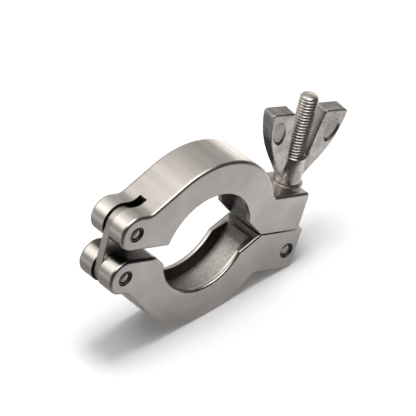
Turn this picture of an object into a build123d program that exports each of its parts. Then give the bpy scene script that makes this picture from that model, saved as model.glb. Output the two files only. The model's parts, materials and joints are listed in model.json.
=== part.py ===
"""KF25 flange clamp with a hinge link, a swing bolt and a wing nut.

Nine pieces. Sizes are in millimetres. X runs along the clamp from the hinge
to the bolt, Y is the thickness with the front face at -Y, and Z is up. The
origin is the centre of the bore. The clamp stands on edge, on its lower ring
and the corner of its lower lug.
"""
from math import asin, atan2, cos, degrees, hypot, radians, sin, tan
import os
from build123d import *

os.makedirs("parts", exist_ok=True)

# Body: two half rings that close on the 40 mm flanges of KF25 fittings
body_width = 15.0
ring_radius = 28.0
lip_radius = 16.9
groove_radius = 20.6
groove_mouth = 11.4
flank_angle = 15.0
bore_flare = 2.0
edge_round = 1.0
lip_round = 0.35

# Hinge end
upper_pin_reach = 4.4
upper_pin_z = 7.0
lower_pin_reach = 3.3
lower_pin_z = -8.1
barrel_radius = 5.8
neck_reach = 0.4
neck_round = 5.0
pin_radius = 2.0
stake_radius = 2.6
stake_depth = 0.5
link_thick = 2.8
link_play = 0.12
link_end_radius = 5.0
link_hole_play = 0.04
link_slot_wall = 1.4

# Bolt end
seat_z = 12.8
lug_base_z = -13.8
upper_notch_inset = 4.1
lower_notch_inset = 2.4
upper_lug_reach = 11.7
lower_lug_reach = 13.8
lug_corner = 1.8
half_gap = 0.3
bolt_pin_reach = 9.3
bolt_pin_z = -7.3
bolt_radius = 3.0
bolt_lean = 4.5
bolt_slot_play = 0.35
eye_radius = 4.5
eye_thick = 6.0
eye_hole_play = 0.05
eye_slot_play = 0.3

# Nut and washer
washer_radius = 5.0
washer_thick = 0.6
washer_lift = 0.05
hub_base_radius = 4.3
hub_top_radius = 3.95
hub_height = 9.2
thread_play = 0.08
bolt_reach = 51.0
wing_turn = 9.0
wing_thick = 5.2
wing_root_thick = 4.0
wing_top = 25.2
wing_reach = 14.0
dish_depth = 0.5

# Both ends are measured from the ring's outer face
upper_pin_x = -ring_radius - upper_pin_reach
lower_pin_x = -ring_radius - lower_pin_reach
neck_x = -ring_radius - neck_reach
upper_notch_x = ring_radius - upper_notch_inset
lower_notch_x = ring_radius - lower_notch_inset
upper_lug_x = ring_radius + upper_lug_reach
lower_lug_x = ring_radius + lower_lug_reach
bolt_pin_x = ring_radius + bolt_pin_reach
flare_x = groove_radius + bore_flare

# Where the lower lug's rounded corner is, as seen from the ring's centre
corner_x = lower_lug_x - lug_corner
corner_z = -lug_base_z - lug_corner
corner_reach = hypot(corner_x, corner_z)
rest_angle = degrees(asin((ring_radius - lug_corner) / corner_reach) - atan2(corner_z, corner_x))
rest_tilt = radians(rest_angle)
rest = Plane(
    origin=(0, 0, 0),
    x_dir=(cos(rest_tilt), 0, -sin(rest_tilt)),
    z_dir=(0, -1, 0),
)
clamp_axis = rest.x_dir
half_up = rest.y_dir
centre = rest.origin
half_width = body_width / 2


def place(x, z):
    """Return the point that is x along the clamp and z above its parting plane."""
    return centre + clamp_axis * x + half_up * z


def ring_touch(x, z, side):
    """Return where a line from (x, z) touches the ring, above (1) or below (-1)."""
    turn = radians(90) - asin(ring_radius / hypot(x, z))
    angle = atan2(z, x) - side * turn
    return (ring_radius * cos(angle), ring_radius * sin(angle))


def on_circle(radius, angle):
    """Return the point of a circle about the ring's centre at an angle in degrees."""
    return (radius * cos(radians(angle)), radius * sin(radians(angle)))


# The groove for the flanges, cut from both halves
groove_bottom = groove_mouth / 2 - (groove_radius - lip_radius) * tan(radians(flank_angle))
groove_half = groove_mouth / 2 + lip_radius * tan(radians(flank_angle))
with BuildPart() as groove:
    with BuildSketch(Plane(origin=centre, x_dir=(0, -1, 0), z_dir=clamp_axis)) as groove_profile:
        with BuildLine():
            Polyline(
                (-groove_half, 0),
                (-groove_bottom, groove_radius),
                (groove_bottom, groove_radius),
                (groove_half, 0),
                (-groove_half, 0),
            )
        make_face()
    revolve(axis=Axis(centre, (0, 1, 0)), revolution_arc=360)

# Upper half: barrel at the hinge, ring, and a lug forked for the bolt
upper_barrel_top = upper_pin_z + barrel_radius
upper_barrel_base = upper_pin_z - barrel_radius
upper_touch = ring_touch(neck_x, upper_barrel_top, 1)
ring_shoulder = on_circle(ring_radius, 80)
upper_bore_start = on_circle(lip_radius, 17)
upper_bore_end = (-((lip_radius**2 - upper_barrel_base**2) ** 0.5), upper_barrel_base)
link_slot_width = link_thick + 2 * link_play
upper_slot_end = upper_pin_x + link_end_radius + link_slot_wall
fork_width = 2 * bolt_radius + 2 * bolt_slot_play
fork_end = bolt_pin_x - (seat_z - bolt_pin_z) * tan(radians(bolt_lean))
with BuildPart() as upper_half:
    with BuildSketch(rest) as upper_profile:
        with BuildLine():
            ThreePointArc(
                (upper_pin_x, upper_barrel_base),
                (upper_pin_x - barrel_radius, upper_pin_z),
                (upper_pin_x, upper_barrel_top),
            )
            FilletPolyline(
                (upper_pin_x, upper_barrel_top),
                (neck_x, upper_barrel_top),
                upper_touch,
                radius=neck_round,
            )
            ThreePointArc(upper_touch, (0, ring_radius), ring_shoulder)
            TangentArc(ring_shoulder, (upper_notch_x, seat_z), tangent=(ring_shoulder[1], -ring_shoulder[0]))
            Polyline(
                (upper_notch_x, seat_z),
                (upper_lug_x, seat_z),
                (upper_lug_x, half_gap),
                (flare_x, half_gap),
                upper_bore_start,
            )
            ThreePointArc(upper_bore_start, (0, lip_radius), upper_bore_end)
            Line(upper_bore_end, (upper_pin_x, upper_barrel_base))
        make_face()
        for corner_point, corner_round in (
            ((upper_lug_x, seat_z, 0), 1.2),
            ((upper_notch_x, seat_z, 0), 1.3),
        ):
            fillet(upper_profile.vertices().sort_by_distance(corner_point)[0], radius=corner_round)
    extrude(amount=half_width, both=True)
    fillet(
        [
            edge
            for edge in upper_half.faces().filter_by(Axis.Y).edges()
            if (edge @ 0.5 - centre).length > 22 and (edge @ 0.5 - centre).dot(half_up) > 1
        ],
        radius=edge_round,
    )
    fillet(
        [
            edge
            for edge in upper_half.faces().filter_by(Axis.Y).edges()
            if (edge @ 0.5 - centre).length < 22
        ],
        radius=lip_round,
    )
    add(groove.part, mode=Mode.SUBTRACT)
    with BuildSketch(Plane(origin=place(0, -2), x_dir=clamp_axis, z_dir=half_up)):
        with Locations((upper_slot_end, 0)):
            Rectangle(20, link_slot_width, align=(Align.MAX, Align.CENTER))
        with Locations((fork_end, 0)):
            Circle(fork_width / 2)
            Rectangle(20, fork_width, align=(Align.MIN, Align.CENTER))
    extrude(amount=40, mode=Mode.SUBTRACT)
    with BuildSketch(rest):
        with Locations((upper_pin_x, upper_pin_z)):
            Circle(pin_radius)
    extrude(amount=half_width, both=True, mode=Mode.SUBTRACT)
    for side in (-1, 1):
        with BuildSketch(rest.offset(side * half_width)):
            with Locations((upper_pin_x, upper_pin_z)):
                Circle(stake_radius)
        extrude(amount=-side * stake_depth, mode=Mode.SUBTRACT)

# Lower half: the same casting idea, with a lug slotted for the bolt's eye
lower_barrel_top = lower_pin_z + barrel_radius
lower_barrel_base = lower_pin_z - barrel_radius
lower_touch = ring_touch(neck_x, lower_barrel_base, -1)
ring_foot = on_circle(ring_radius, -70)
lower_bore_start = on_circle(lip_radius, -18)
lower_bore_end = on_circle(lip_radius, -161)
lower_slot_end = lower_pin_x + link_end_radius + link_slot_wall
eye_slot_width = eye_thick + 2 * eye_slot_play
eye_slot_end = bolt_pin_x - eye_radius - 0.9
with BuildPart() as lower_half:
    with BuildSketch(rest) as lower_profile:
        with BuildLine():
            ThreePointArc(
                (lower_pin_x, lower_barrel_top),
                (lower_pin_x - barrel_radius, lower_pin_z),
                (lower_pin_x, lower_barrel_base),
            )
            FilletPolyline(
                (lower_pin_x, lower_barrel_base),
                (neck_x, lower_barrel_base),
                lower_touch,
                radius=neck_round,
            )
            ThreePointArc(lower_touch, (0, -ring_radius), ring_foot)
            TangentArc(ring_foot, (lower_notch_x, lug_base_z), tangent=(-ring_foot[1], ring_foot[0]))
            Polyline(
                (lower_notch_x, lug_base_z),
                (lower_lug_x, lug_base_z),
                (lower_lug_x, -half_gap),
                (flare_x, -half_gap),
                lower_bore_start,
            )
            ThreePointArc(lower_bore_start, (0, -lip_radius), lower_bore_end)
            Line(lower_bore_end, (-20.5, lower_barrel_top))
            Line((-20.5, lower_barrel_top), (lower_pin_x, lower_barrel_top))
        make_face()
        for corner_point, corner_round in (
            ((lower_lug_x, lug_base_z, 0), lug_corner),
            ((lower_notch_x, lug_base_z, 0), 3.0),
            ((-20.5, lower_barrel_top, 0), 2.5),
        ):
            fillet(lower_profile.vertices().sort_by_distance(corner_point)[0], radius=corner_round)
    extrude(amount=half_width, both=True)
    fillet(
        [
            edge
            for edge in lower_half.faces().filter_by(Axis.Y).edges()
            if (edge @ 0.5 - centre).length > 18 and (edge @ 0.5 - centre).dot(half_up) < -0.6
        ],
        radius=edge_round,
    )
    add(groove.part, mode=Mode.SUBTRACT)
    with BuildSketch(Plane(origin=place(0, 2), x_dir=clamp_axis, z_dir=half_up)):
        with Locations((lower_slot_end, 0)):
            Rectangle(20, link_slot_width, align=(Align.MAX, Align.CENTER))
        with Locations((eye_slot_end, 0)):
            Rectangle(20, eye_slot_width, align=(Align.MIN, Align.CENTER))
    extrude(amount=-40, mode=Mode.SUBTRACT)
    with BuildSketch(rest):
        with Locations((lower_pin_x, lower_pin_z), (bolt_pin_x, bolt_pin_z)):
            Circle(pin_radius)
    extrude(amount=half_width, both=True, mode=Mode.SUBTRACT)
    for side in (-1, 1):
        with BuildSketch(rest.offset(side * half_width)):
            with Locations((lower_pin_x, lower_pin_z), (bolt_pin_x, bolt_pin_z)):
                Circle(stake_radius)
        extrude(amount=-side * stake_depth, mode=Mode.SUBTRACT)

# Hinge link: one flat plate between the two barrels
with BuildPart() as hinge_link:
    with BuildSketch(rest):
        with Locations((upper_pin_x, upper_pin_z), (lower_pin_x, lower_pin_z)):
            Circle(link_end_radius)
        make_hull()
        with Locations((upper_pin_x, upper_pin_z), (lower_pin_x, lower_pin_z)):
            Circle(pin_radius + link_hole_play, mode=Mode.SUBTRACT)
    extrude(amount=link_thick / 2, both=True)
    fillet(
        [edge for edge in hinge_link.faces().filter_by(Axis.Y).edges() if edge.length > 13.5],
        radius=0.3,
    )

# Pins: staked rods, a little short of the faces, with eased ends
pin_half = half_width - 0.2
with BuildPart() as upper_hinge_pin:
    with BuildSketch(rest):
        with Locations((upper_pin_x, upper_pin_z)):
            Circle(pin_radius)
    extrude(amount=pin_half, both=True)
    chamfer(upper_hinge_pin.edges().filter_by(GeomType.CIRCLE), length=0.3)

with BuildPart() as lower_hinge_pin:
    with BuildSketch(rest):
        with Locations((lower_pin_x, lower_pin_z)):
            Circle(pin_radius)
    extrude(amount=pin_half, both=True)
    chamfer(lower_hinge_pin.edges().filter_by(GeomType.CIRCLE), length=0.3)

with BuildPart() as bolt_pivot_pin:
    with BuildSketch(rest):
        with Locations((bolt_pin_x, bolt_pin_z)):
            Circle(pin_radius)
    extrude(amount=pin_half, both=True)
    chamfer(bolt_pivot_pin.edges().filter_by(GeomType.CIRCLE), length=0.3)

# Swing bolt: an eye as thick as its shank, leaning towards the ring
lean = radians(bolt_lean)
bolt_pivot = place(bolt_pin_x, bolt_pin_z)
bolt_up = half_up * cos(lean) - clamp_axis * sin(lean)
bolt_plane = Plane(origin=bolt_pivot, x_dir=(0, -1, 0), z_dir=bolt_up)
with BuildPart() as swing_bolt:
    with BuildSketch(bolt_plane):
        Circle(bolt_radius)
    extrude(amount=bolt_reach)
    chamfer(swing_bolt.faces().sort_by(Axis(bolt_pivot, bolt_up))[-1].edges(), length=0.5)
    with BuildSketch(rest):
        with Locations((bolt_pin_x, bolt_pin_z)):
            Circle(eye_radius)
    extrude(amount=eye_thick / 2, both=True)
    with BuildSketch(rest):
        with Locations((bolt_pin_x, bolt_pin_z)):
            Circle(pin_radius + eye_hole_play)
    extrude(amount=half_width, both=True, mode=Mode.SUBTRACT)

# Washer: its inner edge just clears the seat while the bolt leans
seat_height = seat_z - bolt_pin_z
washer_base = (seat_height + washer_radius * sin(lean)) / cos(lean) + washer_lift
with BuildPart() as washer:
    with BuildSketch(bolt_plane.offset(washer_base)):
        Circle(washer_radius)
        Circle(bolt_radius + thread_play, mode=Mode.SUBTRACT)
    extrude(amount=washer_thick)

# Wing nut: a tapered hub with two dished wings that thicken upwards
hub_base = washer_base + washer_thick
hub_plane = bolt_plane.offset(hub_base)
wing_angle = radians(wing_turn)
bolt_side = clamp_axis * cos(lean) + half_up * sin(lean)
wing_out = bolt_side * cos(wing_angle) + Vector(0, -1, 0) * sin(wing_angle)
wing_face = wing_out.cross(bolt_up)
wing_plane = Plane(origin=hub_plane.origin, x_dir=wing_out, z_dir=wing_face)
edge_plane = Plane(origin=hub_plane.origin, x_dir=wing_face, z_dir=wing_face.cross(bolt_up))
with BuildPart() as wing_nut:
    with BuildSketch(wing_plane):
        for hand in (-1, 1):
            with BuildLine():
                Spline(
                    (hand * 3.4, 0.6),
                    (hand * 5.4, 3.8),
                    (hand * 7.9, 7.6),
                    (hand * 10.8, 12.8),
                    (hand * 13.1, 19.2),
                    (hand * wing_reach, wing_top - 0.8),
                )
                Polyline(
                    (hand * wing_reach, wing_top - 0.8),
                    (hand * (wing_reach - 1.2), wing_top),
                    (hand * 6.2, wing_top),
                    (hand * 5.5, wing_top - 0.8),
                    (hand * 3.6, 9.4),
                    (hand * 1.0, 8.0),
                    (hand * 1.0, 0.6),
                    (hand * 3.4, 0.6),
                )
            make_face()
    extrude(amount=wing_thick, both=True)
    with BuildSketch(edge_plane):
        with BuildLine():
            Polyline(
                (-wing_root_thick / 2, 0),
                (-wing_thick / 2, 15),
                (-wing_thick / 2, wing_top + 1),
                (wing_thick / 2, wing_top + 1),
                (wing_thick / 2, 15),
                (wing_root_thick / 2, 0),
                (-wing_root_thick / 2, 0),
            )
        make_face()
    extrude(amount=wing_reach + 2, both=True, mode=Mode.INTERSECT)
    for side in (-1, 1):
        with BuildSketch(wing_plane.offset(side * wing_thick / 2)):
            for hand in (-1, 1):
                with Locations(Location((hand * 9.6, 18.4, 0), (0, 0, -hand * 14))):
                    Ellipse(1.9, 3.7)
        extrude(amount=-side * dish_depth, mode=Mode.SUBTRACT)
    with BuildSketch(hub_plane):
        Circle(hub_base_radius)
    with BuildSketch(hub_plane.offset(hub_height)):
        Circle(hub_top_radius)
    loft()
    with BuildSketch(hub_plane):
        Circle(bolt_radius + thread_play)
    extrude(amount=hub_height + 1, mode=Mode.SUBTRACT)

pieces = {
    "upper_half": upper_half,
    "lower_half": lower_half,
    "hinge_link": hinge_link,
    "upper_hinge_pin": upper_hinge_pin,
    "lower_hinge_pin": lower_hinge_pin,
    "bolt_pivot_pin": bolt_pivot_pin,
    "swing_bolt": swing_bolt,
    "washer": washer,
    "wing_nut": wing_nut,
}
for label, piece in pieces.items():
    piece.part.label = label
    export_step(piece.part, f"parts/{label}.step")
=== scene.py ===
"""A flange clamp on a pale studio floor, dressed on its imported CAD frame.

Lengths are in metres. Each section makes one piece: its sizes, colours, mesh,
material and the body it rides. X runs along the clamp to the bolt, -Y is the
front, Z is up, and the origin is the centre of the bore.
"""

import json
from math import cos, pi, radians, sin

import bmesh
import bpy
from mathutils import Matrix, Vector


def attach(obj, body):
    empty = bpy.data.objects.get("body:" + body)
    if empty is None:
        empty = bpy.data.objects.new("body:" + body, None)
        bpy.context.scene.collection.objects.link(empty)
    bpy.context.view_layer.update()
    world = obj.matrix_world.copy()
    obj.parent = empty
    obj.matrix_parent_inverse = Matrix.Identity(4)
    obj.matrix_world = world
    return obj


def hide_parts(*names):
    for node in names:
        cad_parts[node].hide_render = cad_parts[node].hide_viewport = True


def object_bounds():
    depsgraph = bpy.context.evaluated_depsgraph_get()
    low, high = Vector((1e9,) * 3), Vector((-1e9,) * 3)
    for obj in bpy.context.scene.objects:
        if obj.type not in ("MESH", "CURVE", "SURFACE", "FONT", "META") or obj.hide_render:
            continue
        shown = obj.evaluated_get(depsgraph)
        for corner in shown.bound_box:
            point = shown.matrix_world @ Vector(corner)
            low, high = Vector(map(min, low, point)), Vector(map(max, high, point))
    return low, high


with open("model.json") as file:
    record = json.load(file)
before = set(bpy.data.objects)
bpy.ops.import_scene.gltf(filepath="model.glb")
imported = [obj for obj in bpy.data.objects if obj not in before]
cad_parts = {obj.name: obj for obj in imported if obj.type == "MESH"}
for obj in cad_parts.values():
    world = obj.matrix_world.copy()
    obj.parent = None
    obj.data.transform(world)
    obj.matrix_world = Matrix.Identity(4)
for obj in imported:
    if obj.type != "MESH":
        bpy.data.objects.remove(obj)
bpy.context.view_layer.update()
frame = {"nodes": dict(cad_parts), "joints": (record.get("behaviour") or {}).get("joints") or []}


class Wire:
    """One shader value. Arithmetic on it makes Math nodes."""

    def __init__(self, graph, socket):
        self.graph = graph
        self.socket = socket

    def __add__(self, other):
        return self.graph.math("ADD", self, other)

    def __sub__(self, other):
        return self.graph.math("SUBTRACT", self, other)

    def __rsub__(self, other):
        return self.graph.math("SUBTRACT", other, self)

    def __mul__(self, other):
        return self.graph.math("MULTIPLY", self, other)

    def __truediv__(self, other):
        return self.graph.math("DIVIDE", self, other)

    def __pow__(self, other):
        return self.graph.math("POWER", self, other)

    def __neg__(self):
        return 0 - self

    def __abs__(self):
        return self.graph.math("ABSOLUTE", self)

    def ramp(self, low, high):
        """0 below low, 1 above high, smooth between."""
        return self.graph.node(
            "MapRange",
            {"interpolation_type": "SMOOTHSTEP"},
            Value=self,
            From_Min=low,
            From_Max=high,
        )

    def fall(self, low, high):
        """1 below low, 0 above high, smooth between."""
        return 1 - self.ramp(low, high)


class Graph:
    """The nodes of one material or world. Every node in it comes from node()."""

    def __init__(self, owner):
        self.owner = owner
        owner.use_nodes = True
        self.tree = owner.node_tree
        self.tree.nodes.clear()

    def plug(self, socket, value):
        """Link a wire to an input socket, or set a plain value on it."""
        if isinstance(value, Wire):
            self.tree.links.new(value.socket, socket)
        else:
            socket.default_value = value

    def node(self, kind, settings=None, *values, out=0, **named):
        """A new node with its settings and inputs, as the wire of one output."""
        node = self.tree.nodes.new("ShaderNode" + kind)
        for key, value in (settings or {}).items():
            setattr(node, key, value)
        for index, value in enumerate(values):
            self.plug(node.inputs[index], value)
        for key, value in named.items():
            self.plug(node.inputs[key.replace("_", " ")], value)
        return Wire(self, node.outputs[out] if node.outputs else None)

    def math(self, operation, *values):
        return self.node("Math", {"operation": operation}, *values)

    def dot(self, first, second):
        return self.node("VectorMath", {"operation": "DOT_PRODUCT"}, first, second, out="Value")

    def split(self, vector):
        """The three coordinates of a vector."""
        outputs = self.node("SeparateXYZ", {}, vector).socket.node.outputs
        return [Wire(self, output) for output in outputs]

    def noise(self, scale, detail=3.0, rough=0.55, stretch=(1, 1, 1)):
        """Noise in the piece's own frame, stretched for a grain."""
        point = self.node("TexCoord", out="Object")
        where = self.node("Mapping", {}, Vector=point, Scale=stretch)
        return self.node("TexNoise", {}, Vector=where, Scale=scale, Detail=detail, Roughness=rough)

    def blend(self, factor, first, second):
        """A colour between two colours, by the colour sockets of a Mix node."""
        mix = self.node("Mix", {"data_type": "RGBA"}, factor, out=2)
        for index, colour in ((6, first), (7, second)):
            value = colour if isinstance(colour, Wire) else (*colour, 1.0)
            self.plug(mix.socket.node.inputs[index], value)
        return mix

    def bump(self, height, strength, distance):
        return self.node("Bump", {}, Height=height, Strength=strength, Distance=distance)

    def metal(self, colour, rough, normal):
        """A bare metal surface, as a finished material."""
        surface = self.node(
            "BsdfPrincipled", {}, Base_Color=colour, Roughness=rough, Metallic=1.0, Normal=normal
        )
        self.node("OutputMaterial", {}, surface)
        return self.owner

    def choose(self, factor, first, second):
        """A shader between two shaders."""
        return self.node("MixShader", {}, factor, first, second)


def paint(name):
    """A new material, as a graph to fill."""
    return Graph(bpy.data.materials.new(name))


def span(first, second):
    """The distance that two offsets at a right angle make."""
    return (first * first + second * second) ** 0.5


def unit(value):
    """A number held between 0 and 1."""
    return min(1.0, max(0.0, value))


def mm(*pairs):
    """Pairs that are written in millimetres, in metres."""
    return [(first / 1000, second / 1000) for first, second in pairs]


def add(name, data):
    """A new object in the scene."""
    obj = bpy.data.objects.new(name, data)
    bpy.context.scene.collection.objects.link(obj)
    return obj


def smooth(obj, angle=35):
    """Shade smooth, with edges sharper than angle kept crisp."""
    mesh = obj.data
    mesh.polygons.foreach_set("use_smooth", [True] * len(mesh.polygons))
    mesh.set_sharp_from_angle(angle=radians(angle))


def make(name, points, faces, matrix, material, angle=35):
    """A mesh object from points and faces, set in place by matrix."""
    mesh = bpy.data.meshes.new(name)
    mesh.from_pydata([matrix @ Vector(p) for p in points], [], faces)
    mesh.update()
    obj = add(name, mesh)
    mesh.materials.append(material)
    smooth(obj, angle)
    return obj


def tube(rings, steps):
    """Faces that join rings of points, each ring closed on itself."""
    faces = []
    for ring in range(rings - 1):
        low, high = ring * steps, (ring + 1) * steps
        for i in range(steps):
            j = (i + 1) % steps
            faces.append((low + i, low + j, high + j, high + i))
    return faces


def lathe(profile, steps):
    """Points and faces of a profile of (radius, height) turned about Z."""
    points = [
        (r * cos(2 * pi * i / steps), r * sin(2 * pi * i / steps), h)
        for r, h in profile
        for i in range(steps)
    ]
    return points, tube(len(profile), steps)


def axes(origin, x, z):
    """The matrix of a frame at origin with those x and z directions."""
    y = z.cross(x)
    matrix = Matrix((x, y, z)).transposed().to_4x4()
    matrix.translation = origin
    return matrix


def aim(obj, direction):
    """Turn a lamp or camera to look along direction."""
    obj.rotation_euler = direction.to_track_quat("-Z", "Y").to_euler()


def dress(node, material, angle=35):
    """Give a CAD piece its material, and smooth its shading."""
    obj = frame["nodes"][node]
    obj.data.materials.clear()
    obj.data.materials.append(material)
    smooth(obj, angle)
    return obj


# The clamp's own directions. It stands on its ring and its lower lug, so its
# length leans down towards the bolt.
joint = {j["name"]: j for j in frame["joints"]}
hinge_front = Vector((0, -1, 0))
bolt_up = Vector(joint["nut_turn"]["axis"]).normalized()
bolt_pin = Vector(joint["bolt_swing"]["pos_m"])
bolt_side = Vector((bolt_up.z, 0, -bolt_up.x))
standing_lean = radians(22.1576)
along = Vector((cos(standing_lean), 0, -sin(standing_lean)))


# The two half rings: stainless castings, blasted to a fine grain on their flat
# sides and linished across their outer faces. The groove stays as cast, darker and grittier, with
# painted shade over it that is deepest on its flanks. Painted black shade fills the narrow slots
# and the rings punched round the pins.
groove_radius, groove_half = 0.0206, 0.0057
link_slot_half, bolt_slot_half = 0.00152, 0.00335
lower_slot_end, upper_slot_more = -0.0249, 0.0011
pin_radius, stake_radius = 0.0020, 0.0026
cast = paint("cast_steel")

# Where a point is: run and rise follow the clamp's length and height as it leans.
across, ahead, above = cast.split(cast.node("TexCoord", out="Object"))
side = cast.dot(cast.node("NewGeometry", out="Normal"), (0, 1, 0))
facing = side * side
flat = facing.ramp(0.80, 0.985)
walls = 1 - flat
off_middle = abs(ahead)
radius = span(across, above)
run = across * along.x + above * along.z
rise = above * along.x - across * along.z

# Painted shade where shade falls: the slots, the hinge's gap, the flared joint and the pins'
# rings.
groove = radius.fall(groove_radius + 0.00002, groove_radius + 0.00015)
groove = groove * off_middle.fall(groove_half - 0.00004, groove_half + 0.00004)
slot_end = lower_slot_end - rise.ramp(-0.0005, 0.0005) * upper_slot_more
slot = off_middle.fall(link_slot_half + 0.00001, link_slot_half + 0.00006)
slot = slot * (run - slot_end).fall(0.0, 0.0001)
fork = off_middle.fall(bolt_slot_half + 0.00003, bolt_slot_half + 0.00009)
fork = fork * run.ramp(0.0318, 0.0324)
flare = run.ramp(0.0150, 0.0160) * run.fall(0.0226, 0.0230)
flare = flare * rise.ramp(-0.0056, -0.0050) * rise.fall(0.0050, 0.0056) * walls
crevice = walls * run.fall(-0.0225, -0.0205) * rise.ramp(-0.0040, -0.0030)
crevice = crevice * rise.fall(0.0012, 0.0022)
painted_shade = slot + fork * 0.8 + crevice * 0.9 + flare * 0.5
for pivot in ("upper_pivot", "link_pivot", "bolt_swing"):
    x, _, z = joint[pivot]["pos_m"]
    off = span(across - x, above - z)
    punched = off.ramp(pin_radius - 0.00025, pin_radius)
    punched = punched * off.fall(stake_radius - 0.00004, stake_radius + 0.0001)
    painted_shade = painted_shade + punched * 0.8

# The finishes: blasted sides, linished tops with lines across them, and raw casting in the groove,
# which also carries painted shade.
cloud = cast.noise(80, 3).ramp(0.3, 0.72)
blotch = cast.noise(300, 3, 0.6)
speck = cast.noise(900, 2).ramp(0.62, 0.78)
grain = cast.noise(3000, 4, 0.65)
line = cast.noise(130, 5, 0.6, stretch=(1, 0.14, 1))
scratch = cast.noise(900, 3, 0.6, stretch=(0.18, 1, 0.18))
pits = cast.noise(1500, 1).ramp(0.70, 0.80) * flat
grit = cast.noise(1700, 3, 0.6)
sides = cast.blend(cloud * 0.6 + blotch * 0.4, (0.56, 0.53, 0.515), (0.70, 0.68, 0.66))
tops = cast.blend(line.ramp(0.32, 0.68), (0.54, 0.51, 0.48), (0.68, 0.645, 0.605))
raw_cast_and_shade = cast.blend(grit.ramp(0.3, 0.75), (0.27, 0.26, 0.245), (0.44, 0.42, 0.40))
# Painted shade: the groove's flanks, facing front and back, are darker still.
raw_cast_and_shade = cast.blend(facing.ramp(0.25, 0.7), raw_cast_and_shade, (0.13, 0.12, 0.115))
colour = cast.blend(flat, tops, sides)
colour = cast.blend(speck * 0.12, colour, (0.34, 0.31, 0.29))
colour = cast.blend(pits * 0.3, colour, (0.20, 0.18, 0.17))
colour = cast.blend(groove, colour, raw_cast_and_shade)
# Painted shade: near black in the slots, the hinge's gap, the flared joint and the pins' rings.
colour = cast.blend(cast.math("MINIMUM", painted_shade, 1.0) * 0.92, colour, (0.03, 0.028, 0.026))
rough = flat * 0.16 + 0.24 + line * 0.08 + groove * 0.08
height = grain * (flat * 0.6 + 0.15) + grit * groove * 1.5
height = height + (line * 1.6 + scratch * 0.3) * (1 - flat * 0.9) - pits * 0.8
cast_metal = cast.metal(colour, rough, cast.bump(height, 0.26, 0.00012))
dress("upper_half", cast_metal, 30)
dress("lower_half", cast_metal, 30)

# The hinge link: one flat plate, sheared and tumbled, with faint drag lines.
plate = paint("link_plate")
drag = plate.noise(700, 3, 0.6, stretch=(1, 1, 0.12))
plate_colour = plate.blend(plate.noise(180, 2), (0.40, 0.385, 0.365), (0.52, 0.50, 0.475))
plate_metal = plate.metal(plate_colour, drag * 0.14 + 0.28, plate.bump(drag, 0.2, 0.0001))
dress("hinge_link", plate_metal)

# The three pins: rods staked flush, their ends a little domed inside the ring
# that the staking punch pressed round them.
pin = paint("pin_ends")
punch = pin.noise(900, 3)
pin_colour = pin.blend(punch, (0.36, 0.34, 0.32), (0.52, 0.50, 0.47))
pin_metal = pin.metal(pin_colour, punch * 0.15 + 0.27, pin.bump(punch, 0.15, 0.0001))
pin_dome = mm((0.0, 7.34), (0.6, 7.31), (1.1, 7.2), (1.5, 7.0), (1.75, 6.8), (1.9, 6.55))
pin_outline = pin_dome + [(r, -h) for r, h in reversed(pin_dome)]
for node, at in (
    ("upper_hinge_pin", joint["upper_pivot"]["pos_m"]),
    ("lower_hinge_pin", joint["link_pivot"]["pos_m"]),
    ("bolt_pivot_pin", joint["bolt_swing"]["pos_m"]),
):
    points, faces = lathe(pin_outline, 48)
    rod = make(node + "_rod", points, faces, axes(Vector(at), along, hinge_front), pin_metal)
    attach(rod, "upper_jaw" if node == "upper_hinge_pin" else "lower_jaw")
    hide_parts(node)

# The swing bolt: a forged eye and an M6 shank with a rolled thread, bright and
# a little oily, so its flanks read as dark and light streaks.
pitch, crest, root = 0.001, 0.003, 0.00242
neck_start, thread_start, bolt_end = 0.0032, 0.0105, 0.051
run_in, end_bevel, end_radius = 0.0012, 0.0006, 0.0024
flank_slope, root_flat = 2.6, 0.15
steps, rows_per_turn = 48, 8
bolt = paint("bolt_steel")
streak = bolt.noise(500, 3, 0.6)
bolt_colour = bolt.blend(streak, (0.46, 0.43, 0.40), (0.72, 0.69, 0.65))
bolt_metal = bolt.metal(bolt_colour, streak * 0.12 + 0.26, bolt.bump(streak, 0.1, 0.0001))
rows = int((bolt_end - thread_start) / pitch * rows_per_turn)
points = []
for row in range(rows + 1):
    h = thread_start + (bolt_end - thread_start) * row / rows
    cut_depth = (crest - root) * unit((h - thread_start) / run_in)
    widest = end_radius + (crest - end_radius) * unit((bolt_end - h) / end_bevel)
    for i in range(steps):
        phase = (h / pitch - i / steps) % 1.0
        tooth = unit(abs(phase - 0.5) * flank_slope - root_flat)
        r = min(crest - cut_depth * (1 - tooth), widest)
        points.append((r * cos(2 * pi * i / steps), r * sin(2 * pi * i / steps), h))
faces = tube(rows + 1, steps)
top = len(points)
points.append((0, 0, bolt_end))
faces += [(rows * steps + i, rows * steps + (i + 1) % steps, top) for i in range(steps)]
bolt_axes = axes(bolt_pin, bolt_side, bolt_up)
shank = make("bolt_thread", points, faces, bolt_axes, bolt_metal, 60)
neck_points, neck_faces = lathe([(crest, neck_start), (crest, thread_start)], steps)
neck = make("bolt_neck", neck_points, neck_faces, bolt_axes, bolt_metal)
eye_front = mm((4.5, 1.6), (4.25, 2.6), (3.8, 3.0), (2.25, 3.0), (2.05, 2.8))
eye_rear = [(r, -h) for r, h in reversed(eye_front)]
eye_outline = eye_rear + eye_front + eye_rear[:1]
eye_points, eye_faces = lathe(eye_outline, 64)
eye = make("bolt_eye", eye_points, eye_faces, axes(bolt_pin, along, hinge_front), bolt_metal)
for obj in (shank, neck, eye):
    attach(obj, "bolt")
    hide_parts("swing_bolt")

# The washer: a thin bright ring under the nut.
dress("washer", bolt_metal)

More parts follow.
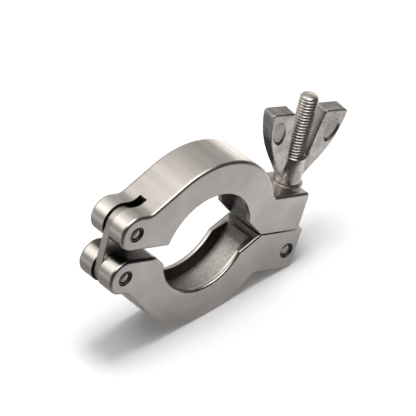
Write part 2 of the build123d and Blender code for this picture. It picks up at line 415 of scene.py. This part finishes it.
# The wing nut: a small casting, tumbled bright. A tapered hub carries two wings
# that lean outwards and thicken to blunt tips, with a dish in each of their faces.
nut_height, wing_turn = 0.0212056, radians(9)
wing_root_half, wing_spread, wing_tip_half = 0.0014, 0.085, 0.0026
dish_out, dish_up, dish_lean = 0.0097, 0.0182, radians(15)
dish_long, dish_wide, dish_shade_wide = 0.0039, 0.0022, 0.0023
dish_spread, dish_depth, dish_rim, dish_slope = 0.09, 0.0005, 1.2, 0.5
wing_face = 0.0013
skin_size, skin_rounds = 0.00017, 16
nut_base = bolt_pin + bolt_up * nut_height
wing_out = bolt_side * cos(wing_turn) + hinge_front * sin(wing_turn)
nut_axes = axes(nut_base, wing_out, bolt_up)

nut = paint("nut_cast")
flow = nut.noise(260, 3)
spot = nut.node(
    "VectorMath", {"operation": "SUBTRACT"}, nut.node("TexCoord", out="Object"), nut_base
)
outward = abs(nut.dot(spot, wing_out)) - dish_out
upward = nut.dot(spot, bolt_up) - dish_up
short = (outward * cos(dish_lean) - upward * sin(dish_lean)) / dish_shade_wide
tall = (outward * sin(dish_lean) + upward * cos(dish_lean)) / dish_long
dish = (short * short + tall * tall).fall(0.55, 1.25)
nut_colour = nut.blend(flow.ramp(0.35, 0.7), (0.38, 0.36, 0.345), (0.56, 0.54, 0.52))
# Painted shade: the dishes' hollows are darkened in colour.
nut_colour = nut.blend(dish * 0.35, nut_colour, (0.24, 0.225, 0.21))
nut_bump = nut.bump(nut.noise(1600, 3) + flow, 0.12, 0.00015)
nut_metal = nut.metal(nut_colour, flow * 0.12 + 0.17 + dish * 0.08, nut_bump)

wing_outer = mm(
    (3.2, 0.5), (4.3, 1.9), (5.4, 3.8), (6.6, 5.7), (7.9, 7.6), (9.4, 10.1),
    (10.8, 12.8), (12.1, 15.9), (13.1, 19.2), (13.75, 22.0), (14.0, 24.2),
)
wing_inner = mm(
    (13.7, 24.9), (12.9, 25.2), (6.2, 25.2), (5.7, 24.9), (5.5, 24.3),
    (4.5, 16.5), (3.7, 10.0), (3.55, 8.4),
)
wing_outline = wing_outer + wing_inner
blank_hub = mm(
    (3.2, 0.0), (4.05, 0.0), (4.3, 0.25), (4.2, 3.0), (4.0, 8.6),
    (3.85, 9.2), (3.4, 9.2), (3.2, 9.0), (3.2, 0.0),
)
soup = bmesh.new()
for hand in (-1, 1):
    sheets = []
    for face in (-1, 1):
        sheet = []
        for x, z in wing_outline:
            half_thick = min(wing_root_half + z * wing_spread, wing_tip_half)
            sheet.append(soup.verts.new((hand * x, face * half_thick, z)))
        sheets.append(sheet)
        soup.faces.new(sheet if face * hand < 0 else sheet[::-1])
    for i in range(len(wing_outline)):
        j = (i + 1) % len(wing_outline)
        soup.faces.new([sheets[0][i], sheets[1][i], sheets[1][j], sheets[0][j]])
hub_points, hub_faces = lathe(blank_hub, 64)
hub_verts = [soup.verts.new(p) for p in hub_points]
for face in hub_faces:
    soup.faces.new([hub_verts[i] for i in face])
bmesh.ops.remove_doubles(soup, verts=soup.verts, dist=1e-7)
bmesh.ops.recalc_face_normals(soup, faces=soup.faces)
blank_mesh = bpy.data.meshes.new("nut_blank")
soup.to_mesh(blank_mesh)
soup.free()

# The blank is skinned and softened into one casting, then its dishes are sunk.
blank = add("nut_blank", blank_mesh)
remesh = blank.modifiers.new("skin", "REMESH")
remesh.mode = "VOXEL"
remesh.voxel_size = skin_size
soften = blank.modifiers.new("soften", "SMOOTH")
soften.factor = 0.5
soften.iterations = skin_rounds
bpy.context.view_layer.update()
body = bpy.data.meshes.new_from_object(blank.evaluated_get(bpy.context.evaluated_depsgraph_get()))
bpy.data.objects.remove(blank)
for vertex in body.vertices:
    x, y, z = vertex.co
    out_from, up_from = abs(x) - dish_out, z - dish_up
    u = out_from * cos(dish_lean) - up_from * sin(dish_lean)
    v = out_from * sin(dish_lean) + up_from * cos(dish_lean)
    reach_in = (u / (dish_wide + dish_spread * v)) ** 2 + (v / dish_long) ** 2
    if reach_in < dish_rim and abs(y) > wing_face:
        sink = unit((dish_rim - reach_in) / dish_slope)
        sink = sink * sink * (3 - 2 * sink)
        vertex.co.y -= dish_depth * sink * (1 if y > 0 else -1)
body.transform(nut_axes)
casting_nut = add("wing_nut_body", body)
body.materials.clear()
body.materials.append(nut_metal)
smooth(casting_nut, 80)

# The hub is turned over the softened skin, so its seat and its rim stay crisp.
hub_outline = mm(
    (3.1, 9.0), (3.1, 0.0), (4.05, 0.0), (4.28, 0.25), (4.3, 0.7), (4.24, 1.6),
    (4.0, 8.5), (3.95, 8.98), (3.72, 9.2), (3.3, 9.2), (3.1, 9.0),
)
wall_points, wall_faces = lathe(hub_outline, 64)
hub_wall = make("wing_nut_hub", wall_points, wall_faces, nut_axes, nut_metal)
for obj in (casting_nut, hub_wall):
    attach(obj, "nut")
    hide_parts("wing_nut")

# The studio: a pale seamless floor that keeps its shadow. Metal sees a greyer
# floor, a painted reflection that glows for it alone, and a sky that is bright at the upper left
# and dim near the horizon.
floor_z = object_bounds()[0].z
floor_half = 3.0
floor_look = paint("floor")
floor_x, floor_y, _ = floor_look.split(floor_look.node("NewGeometry", out="Position"))

# What metal sees of the floor glows for glossy rays alone, a painted reflection: grey close by,
# with painted shade under and behind the clamp, lighter to the right of its lug, darker further
# out in front of it, and lighter again behind it.
near = (-floor_y).ramp(0.012, 0.040) * 0.58 + 0.40
near = near * (floor_x.ramp(-0.03, 0.02) * 0.15 + 0.85)
near = near + floor_x.ramp(0.052, 0.080) * floor_y.ramp(-0.05, -0.01) * 0.8
# Painted shade in the reflected floor, behind the nut.
painted_clamp_shade = span(floor_x - 0.030, floor_y - 0.036).fall(0.018, 0.046)
front = span((floor_x - 0.05) * 0.8, floor_y).ramp(0.064, 0.095) * (-floor_y).ramp(0.0, 0.03)
away = span(floor_x, floor_y)
behind = away.ramp(0.08, 0.25) * floor_y.ramp(-0.02, 0.03)
tone = near * (1 - front * 0.88) * (1 - painted_clamp_shade * 0.85) + behind * 0.42
# Painted reflection: this tone glows for glossy rays only.
grey = floor_look.node("Emission", {}, (1.0, 0.975, 0.955, 1), tone)

# What the camera sees of it: white paper with the shadow, plain white further off.
paper = floor_look.node("BsdfDiffuse", {}, Color=(0.95, 0.95, 0.95, 1))
paper = floor_look.choose(away.ramp(0.16, 0.45), paper, floor_look.node("Emission"))
floor_glossy = floor_look.node("LightPath", out="Is Glossy Ray")
floor_look.node("OutputMaterial", {}, floor_look.choose(floor_glossy, paper, grey))
corners = [(-1, -1), (1, -1), (1, 1), (-1, 1)]
floor = make(
    "floor",
    [(x * floor_half, y * floor_half, floor_z) for x, y in corners],
    [(0, 1, 2, 3)],
    Matrix.Identity(4),
    floor_look.owner,
)

world = bpy.data.worlds.new("studio")
bpy.context.scene.world = world
sky = Graph(world)
look = sky.node("TexCoord", out="Generated")
high = sky.dot(look, (0, 0, 1))
rear = sky.dot(look, (0, 1, 0))
left = sky.dot(look, (-0.50, 0.55, 0.67))
glow = left.ramp(0.90, 1.0) * 1.35 + high.ramp(0.76, 0.85) * 1.15 + 0.05
glow = glow + rear.ramp(-0.1, 0.5) * (high.ramp(-0.1, 0.5) * 0.22 + 0.30)
glow = glow + high.ramp(0.72, 0.86) * (-rear).ramp(0.08, 0.32) * 2.2
glossy = sky.node("Background", {}, (1.0, 0.975, 0.945, 1), glow)
plain = sky.node("Background", {}, (1, 1, 1, 1), 0.36)
seen = sky.node("Background", {}, (1, 1, 1, 1), 1.0)
lit = sky.choose(sky.node("LightPath", out="Is Glossy Ray"), plain, glossy)
sky.node("OutputWorld", {}, sky.choose(sky.node("LightPath", out="Is Camera Ray"), lit, seen))

for name, at, size, power in (
    ("key", (0.04, 0.0, 1.06), 0.40, 6.2),
    ("fill", (-0.20, 0.10, 1.15), 1.1, 5.4),
):
    light = bpy.data.lights.new(name, "AREA")
    light.shape = "DISK"
    light.size = size
    light.energy = power
    lamp = add(name, light)
    lamp.location = at
    lamp.visible_glossy = False
    aim(lamp, -Vector(at))

# The camera looks down on the clamp from its front left, from far off.
azimuth, elevation, distance = radians(-40.7), radians(40.4), 1.216
back = Vector((sin(azimuth) * cos(elevation), -cos(azimuth) * cos(elevation), sin(elevation)))
target = Vector((0.0065, 0, 0.0055))
lens = bpy.data.cameras.new("camera")
lens.lens = 350
lens.sensor_width = 36
lens.clip_end = 20
camera = add("camera", lens)
camera.location = target + back * distance
aim(camera, -back)
bpy.context.scene.camera = camera
bpy.context.scene.view_settings.view_transform = "Standard"
